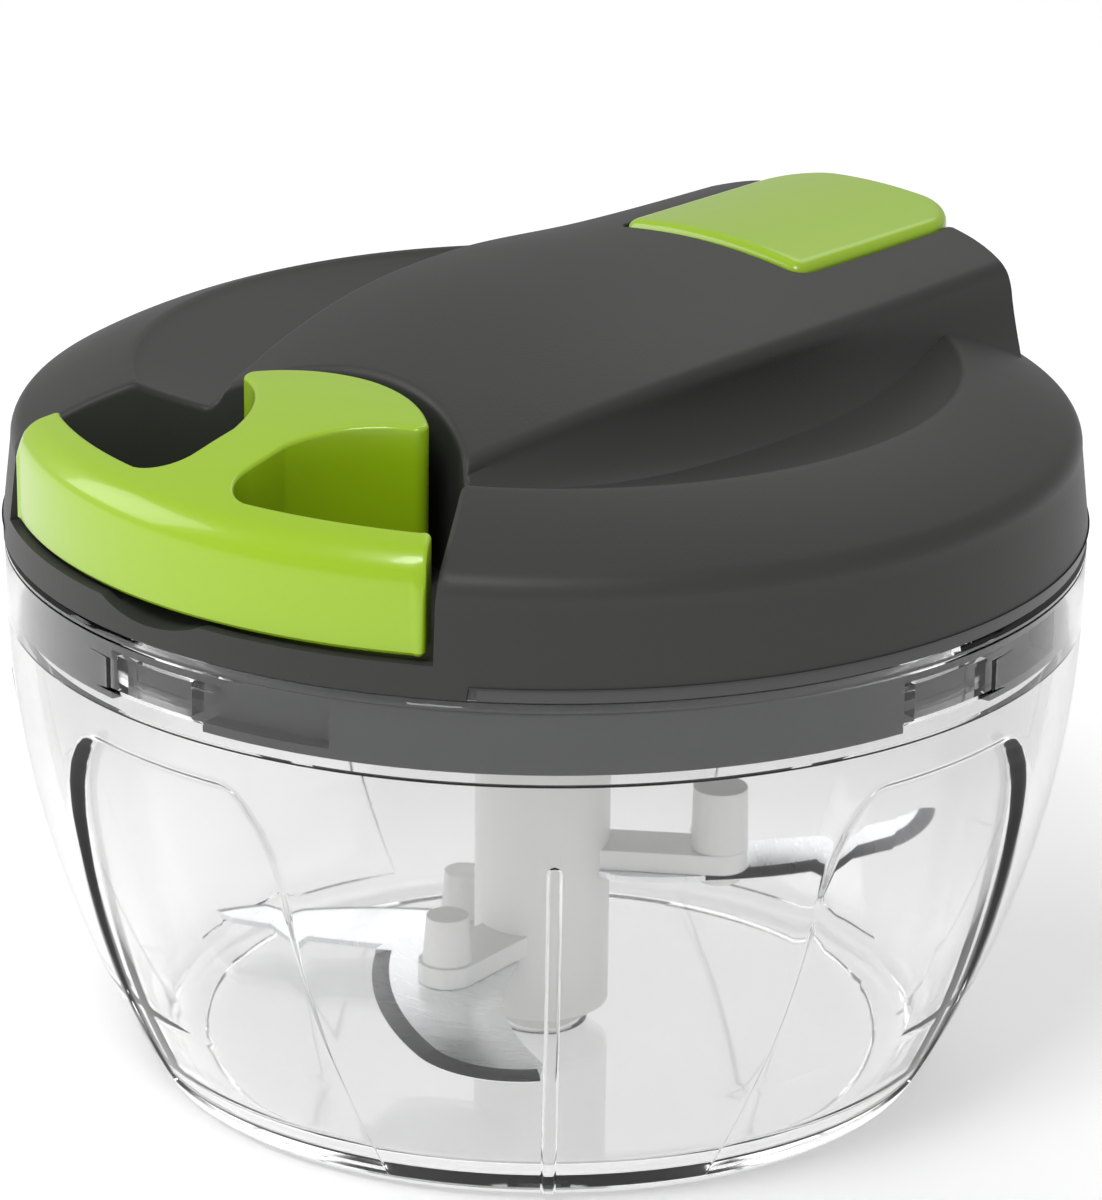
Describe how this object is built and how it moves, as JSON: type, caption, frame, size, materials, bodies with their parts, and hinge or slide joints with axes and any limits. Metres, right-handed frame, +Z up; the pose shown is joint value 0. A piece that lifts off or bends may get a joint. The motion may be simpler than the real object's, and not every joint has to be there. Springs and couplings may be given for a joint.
{
  "type": "pull-string food chopper",
  "caption": "Hand-pulled food chopper: clear bowl, sickle blades on a hub, domed lid with a cord-driven spool, anchor-shaped pull handle and a rear lock button.",
  "frame": {"origin": "centre of the bowl's foot ring, on the table", "axes": "+Z up along the blade axis; the pull handle faces -Y, the lock button is at +Y, +X is to the right seen from the handle"},
  "size_m": [0.1246, 0.1248, 0.0943],
  "materials": {
    "clear_plastic": "clear, glossy",
    "charcoal_plastic": "finely textured satin",
    "green_plastic": "glossy",
    "white_plastic": "smooth",
    "inner_plastic": "smooth, inside the lid",
    "blade_steel": "ground edges",
    "steel": "plain",
    "seal_rubber": "soft",
    "cord_fabric": "braided"
  },
  "bodies": {
    "bowl_body": {"bowl": "clear_plastic", "bowl_pin": "steel"},
    "seal_body": {"seal_ring": "seal_rubber"},
    "lid_body": {"lid_base": "charcoal_plastic", "lid_cover": "charcoal_plastic", "lid_screw_1": "steel", "lid_screw_2": "steel", "lid_screw_3": "steel", "lid_screw_4": "steel", "cord_eyelet": "inner_plastic", "pull_cord": "cord_fabric", "recoil_spring": "steel", "spool_axle": "steel", "axle_clip": "steel", "bearing_bush": "inner_plastic", "button_pin": "steel", "button_spring": "steel"},
    "handle_body": {"pull_handle": "green_plastic", "handle_plug": "green_plastic", "cord_ferrule": "steel", "cord_tail": "cord_fabric"},
    "spool_body": {"spool": "inner_plastic", "spring_cap": "inner_plastic", "pawl_disc": "inner_plastic"},
    "drive_body": {"drive_coupler": "white_plastic", "ratchet_cup": "inner_plastic", "coupler_screw": "steel"},
    "blade_body": {"blade_hub": "white_plastic", "blade_lower": "blade_steel", "blade_middle": "blade_steel", "blade_upper": "blade_steel", "blade_peg_lower": "white_plastic", "blade_peg_middle": "white_plastic", "blade_peg_upper": "white_plastic"},
    "button_body": {"lock_button": "green_plastic"},
    "lock_body": {"lock_pin": "inner_plastic"}
  },
  "joints": [
    {"name": "lid_lift", "type": "slide", "parent": "bowl_body", "child": "seal_body", "axis": [0, 0, 1], "range_m": [0, 0.1]},
    {"name": "lid_turn", "type": "hinge", "parent": "seal_body", "child": "lid_body", "pos_m": [0, 0, 0.065], "axis": [0, 0, -1], "range_deg": [0, 15]},
    {"name": "handle_pull", "type": "slide", "parent": "lid_body", "child": "handle_body", "axis": [0, -1, 0], "range_m": [0, 0.3], "stiffness_N_per_m": 10, "springref_m": -0.3},
    {"name": "spool_spin", "type": "hinge", "parent": "lid_body", "child": "spool_body", "pos_m": [0, 0, 0.077], "axis": [0, 0, -1], "range_deg": [0, 1110]},
    {"name": "drive_spin", "type": "hinge", "parent": "lid_body", "child": "drive_body", "pos_m": [0, 0, 0.06], "axis": [0, 0, -1], "range_deg": [0, 1110]},
    {"name": "blade_spin", "type": "hinge", "parent": "bowl_body", "child": "blade_body", "pos_m": [0, 0, 0.01], "axis": [0, 0, -1], "range_deg": [0, 1110]},
    {"name": "button_rock", "type": "hinge", "parent": "lid_body", "child": "button_body", "pos_m": [0, 0.03, 0.0874], "axis": [-1, 0, 0], "range_deg": [0, 5], "stiffness_Nm_per_rad": 0.8, "springref_deg": -2.86},
    {"name": "lock_pin_drop", "type": "slide", "parent": "lid_body", "child": "lock_body", "axis": [0, 0, -1], "range_m": [0, 0.0023], "deforming": ["button_spring"]}
  ],
  "couplings": [
    {"joint": "spool_spin", "follows": "handle_pull", "rad_per_m": 64.309},
    {"joint": "drive_spin", "follows": "handle_pull", "rad_per_m": 64.309},
    {"joint": "blade_spin", "follows": "handle_pull", "rad_per_m": 64.309},
    {"joint": "lock_pin_drop", "follows": "button_rock", "m_per_rad": 0.0255}
  ]
}
